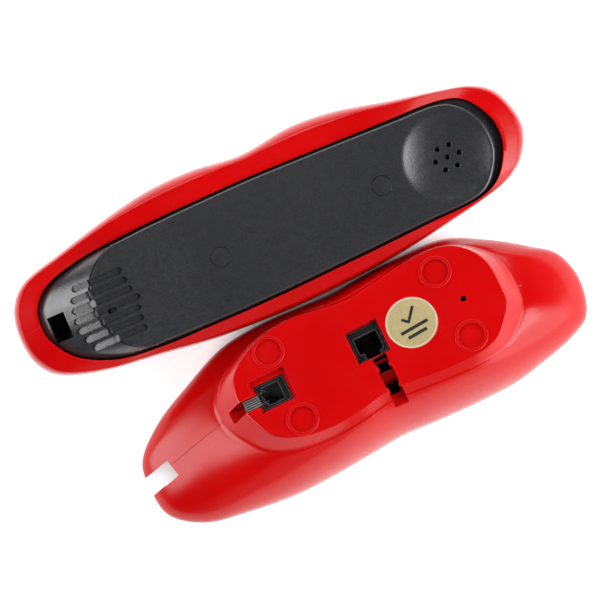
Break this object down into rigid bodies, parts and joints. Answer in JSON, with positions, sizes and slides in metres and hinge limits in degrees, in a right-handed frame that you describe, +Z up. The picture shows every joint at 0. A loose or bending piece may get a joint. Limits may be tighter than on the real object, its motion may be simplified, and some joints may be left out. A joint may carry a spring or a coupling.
{
  "type": "novelty shaped telephone",
  "caption": "Corded telephone shaped as a pair of lips: handset and base lie apart, undersides up, with modular jacks, keypad and hook switch.",
  "frame": {"origin": "centre of the layout's bounding box at floor level", "axes": "+X towards the earpiece end along the long way, +Y to the front of both lips, +Z up; both pieces lie upside down, so the base's platform and the handset's black cover face up"},
  "size_m": [0.2187, 0.1365, 0.048],
  "materials": {
    "red_plastic": "glossy moulded red",
    "black_cover": "fine spark texture",
    "screw_steel": "zinc plated",
    "weight_steel": "mill finish",
    "capsule_aluminium": "drawn can",
    "board_green": "solder mask",
    "board_brown": "phenolic board",
    "component_black": "moulded",
    "jack_black": "moulded",
    "contact_gold": "gold flash",
    "disc_brass": "rolled",
    "sticker_gold": "satin paper",
    "white_plastic": "moulded",
    "mat_rubber": "silicone",
    "black_rubber": "soft",
    "key_plastic": "moulded"
  },
  "bodies": {
    "base": {"base_shell": "red_plastic", "base_keypad_cover": "red_plastic", "base_cover_screws": "screw_steel", "base_weight": "weight_steel", "main_circuit_board": "board_green", "circuit_components": "component_black", "board_screws": "screw_steel", "handset_cord_jack": "jack_black", "handset_cord_jack_contacts": "contact_gold", "line_jack": "jack_black", "line_jack_contacts": "contact_gold", "inspection_sticker": "sticker_gold", "ringer_holder": "white_plastic", "ringer_disc": "disc_brass", "keypad_mat": "mat_rubber", "keypad_board": "board_brown", "hook_spring": "screw_steel", "hook_bracket": "white_plastic", "hook_switch": "component_black"},
    "handset": {"handset_shell": "red_plastic", "handset_inner_cover": "black_cover", "handset_screws": "screw_steel", "handset_screw_plugs": "black_cover", "earpiece_receiver": "component_black", "earpiece_gasket": "black_rubber", "microphone_capsule": "capsule_aluminium", "microphone_boot": "black_rubber", "handset_jack": "jack_black", "handset_jack_contacts": "contact_gold", "handset_weight": "weight_steel"},
    "hook_plunger": {"hook_plunger": "key_plastic"},
    "key_1": {"key_1": "key_plastic"},
    "key_2": {"key_2": "key_plastic"},
    "key_3": {"key_3": "key_plastic"},
    "key_4": {"key_4": "key_plastic"},
    "key_5": {"key_5": "key_plastic"},
    "key_6": {"key_6": "key_plastic"},
    "key_7": {"key_7": "key_plastic"},
    "key_8": {"key_8": "key_plastic"},
    "key_9": {"key_9": "key_plastic"},
    "key_star": {"key_star": "key_plastic"},
    "key_0": {"key_0": "key_plastic"},
    "key_hash": {"key_hash": "key_plastic"},
    "key_redial": {"key_redial": "key_plastic"},
    "key_flash": {"key_flash": "key_plastic"}
  },
  "joints": [
    {"name": "handset_lift", "type": "slide", "parent": "base", "child": "handset", "axis": [0, 0, 1], "range_m": [0, 0.12]},
    {"name": "hook_press", "type": "slide", "parent": "base", "child": "hook_plunger", "axis": [0, 0, 1], "range_m": [0, 0.003], "stiffness_N_per_m": 150, "springref_m": -0.001, "deforming": ["hook_spring"]},
    {"name": "key_1_press", "type": "slide", "parent": "base", "child": "key_1", "axis": [0, 0, 1], "range_m": [0, 0.001], "stiffness_N_per_m": 400, "springref_m": -0.0005},
    {"name": "key_2_press", "type": "slide", "parent": "base", "child": "key_2", "axis": [0, 0, 1], "range_m": [0, 0.001], "stiffness_N_per_m": 400, "springref_m": -0.0005},
    {"name": "key_3_press", "type": "slide", "parent": "base", "child": "key_3", "axis": [0, 0, 1], "range_m": [0, 0.001], "stiffness_N_per_m": 400, "springref_m": -0.0005},
    {"name": "key_4_press", "type": "slide", "parent": "base", "child": "key_4", "axis": [0, 0, 1], "range_m": [0, 0.001], "stiffness_N_per_m": 400, "springref_m": -0.0005},
    {"name": "key_5_press", "type": "slide", "parent": "base", "child": "key_5", "axis": [0, 0, 1], "range_m": [0, 0.001], "stiffness_N_per_m": 400, "springref_m": -0.0005},
    {"name": "key_6_press", "type": "slide", "parent": "base", "child": "key_6", "axis": [0, 0, 1], "range_m": [0, 0.001], "stiffness_N_per_m": 400, "springref_m": -0.0005},
    {"name": "key_7_press", "type": "slide", "parent": "base", "child": "key_7", "axis": [0, 0, 1], "range_m": [0, 0.001], "stiffness_N_per_m": 400, "springref_m": -0.0005},
    {"name": "key_8_press", "type": "slide", "parent": "base", "child": "key_8", "axis": [0, 0, 1], "range_m": [0, 0.001], "stiffness_N_per_m": 400, "springref_m": -0.0005},
    {"name": "key_9_press", "type": "slide", "parent": "base", "child": "key_9", "axis": [0, 0, 1], "range_m": [0, 0.001], "stiffness_N_per_m": 400, "springref_m": -0.0005},
    {"name": "key_star_press", "type": "slide", "parent": "base", "child": "key_star", "axis": [0, 0, 1], "range_m": [0, 0.001], "stiffness_N_per_m": 400, "springref_m": -0.0005},
    {"name": "key_0_press", "type": "slide", "parent": "base", "child": "key_0", "axis": [0, 0, 1], "range_m": [0, 0.001], "stiffness_N_per_m": 400, "springref_m": -0.0005},
    {"name": "key_hash_press", "type": "slide", "parent": "base", "child": "key_hash", "axis": [0, 0, 1], "range_m": [0, 0.001], "stiffness_N_per_m": 400, "springref_m": -0.0005},
    {"name": "key_redial_press", "type": "slide", "parent": "base", "child": "key_redial", "axis": [0, 0, 1], "range_m": [0, 0.001], "stiffness_N_per_m": 400, "springref_m": -0.0005},
    {"name": "key_flash_press", "type": "slide", "parent": "base", "child": "key_flash", "axis": [0, 0, 1], "range_m": [0, 0.001], "stiffness_N_per_m": 400, "springref_m": -0.0005}
  ]
}
